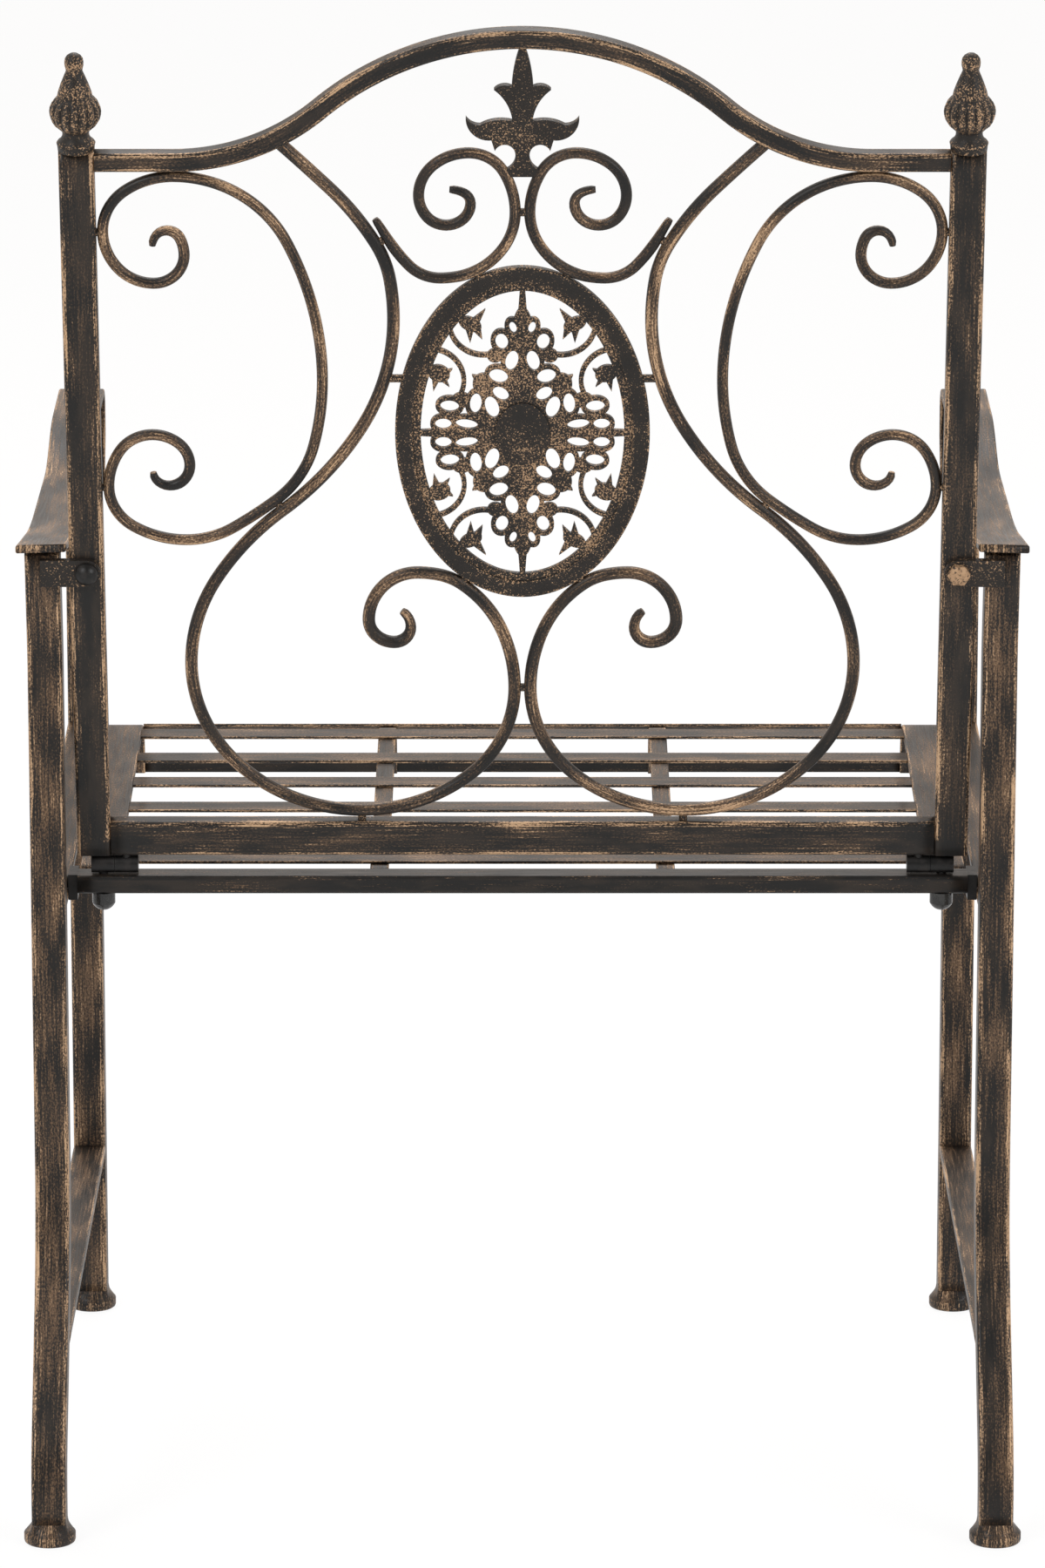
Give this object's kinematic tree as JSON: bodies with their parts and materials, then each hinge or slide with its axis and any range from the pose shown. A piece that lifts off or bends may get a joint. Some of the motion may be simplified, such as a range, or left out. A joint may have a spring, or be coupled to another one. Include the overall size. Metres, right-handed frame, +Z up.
{
  "type": "garden armchair",
  "caption": "Garden armchair in painted iron tube and bar, with a slatted rolled seat, dipped flat arms and a scrollwork back with an oval medallion that folds down onto the seat.",
  "frame": {"origin": "on the floor under the middle of the chair's box", "axes": "+Z up, +X to the sitter's left, the sitter looks towards -Y"},
  "size_m": [0.637, 0.551, 0.9736],
  "materials": {
    "brushed_bronze_paint": "near-black paint dry-brushed with bronze along each bar",
    "speckled_iron": "near-black paint speckled with bronze",
    "black_steel": "satin black",
    "gilt_bolt": "worn bronze paint",
    "cap_plastic": "milky plastic"
  },
  "bodies": {
    "frame": {"hinge_caps": "cap_plastic", "hinge_nuts": "black_steel", "hinge_pins": "black_steel", "left_arm": "brushed_bronze_paint", "left_front_foot": "brushed_bronze_paint", "left_front_leg": "brushed_bronze_paint", "left_lower_knuckle": "black_steel", "left_rear_foot": "brushed_bronze_paint", "left_rear_leg": "brushed_bronze_paint", "left_seat_plate": "brushed_bronze_paint", "left_seat_strap": "brushed_bronze_paint", "left_side_rail": "brushed_bronze_paint", "left_stretcher": "brushed_bronze_paint", "left_tab": "brushed_bronze_paint", "rear_rail_plugs": "black_steel", "right_arm": "brushed_bronze_paint", "right_front_foot": "brushed_bronze_paint", "right_front_leg": "brushed_bronze_paint", "right_lower_knuckle": "black_steel", "right_rear_foot": "brushed_bronze_paint", "right_rear_leg": "brushed_bronze_paint", "right_seat_plate": "brushed_bronze_paint", "right_seat_strap": "brushed_bronze_paint", "right_side_rail": "brushed_bronze_paint", "right_stretcher": "brushed_bronze_paint", "right_tab": "brushed_bronze_paint", "seat_blocks": "brushed_bronze_paint", "seat_bolts": "black_steel", "seat_front_rail": "brushed_bronze_paint", "seat_lugs": "brushed_bronze_paint", "seat_rear_rail": "brushed_bronze_paint", "seat_slat_1": "brushed_bronze_paint", "seat_slat_2": "brushed_bronze_paint", "seat_slat_3": "brushed_bronze_paint", "seat_slat_4": "brushed_bronze_paint", "seat_slat_5": "brushed_bronze_paint", "seat_slat_6": "brushed_bronze_paint", "seat_slat_7": "brushed_bronze_paint"},
    "backrest": {"back_bottom_rail": "brushed_bronze_paint", "back_top_rail": "brushed_bronze_paint", "leaf_plate": "speckled_iron", "left_back_post": "brushed_bronze_paint", "left_finial": "brushed_bronze_paint", "left_long_scroll": "brushed_bronze_paint", "left_outer_scroll": "brushed_bronze_paint", "left_upper_knuckle": "black_steel", "left_upper_scroll": "brushed_bronze_paint", "medallion_band": "speckled_iron", "medallion_filigree": "speckled_iron", "post_inserts": "black_steel", "right_back_post": "brushed_bronze_paint", "right_finial": "brushed_bronze_paint", "right_long_scroll": "brushed_bronze_paint", "right_outer_scroll": "brushed_bronze_paint", "right_upper_knuckle": "black_steel", "right_upper_scroll": "brushed_bronze_paint", "scroll_welds": "brushed_bronze_paint"},
    "left_tab_bolt": {"left_tab_bolt": "black_steel"},
    "right_tab_bolt": {"right_tab_bolt": "gilt_bolt"}
  },
  "joints": [
    {"name": "back_fold", "type": "hinge", "parent": "frame", "child": "backrest", "pos_m": [0, 0.149, 0.419], "axis": [1, 0, 0], "range_deg": [0, 98]},
    {"name": "left_bolt_draw", "type": "slide", "parent": "frame", "child": "left_tab_bolt", "axis": [0, 0.9781, -0.2079], "range_m": [0, 0.0115]},
    {"name": "right_bolt_draw", "type": "slide", "parent": "frame", "child": "right_tab_bolt", "axis": [0, 0.9781, -0.2079], "range_m": [0, 0.0115]}
  ]
}
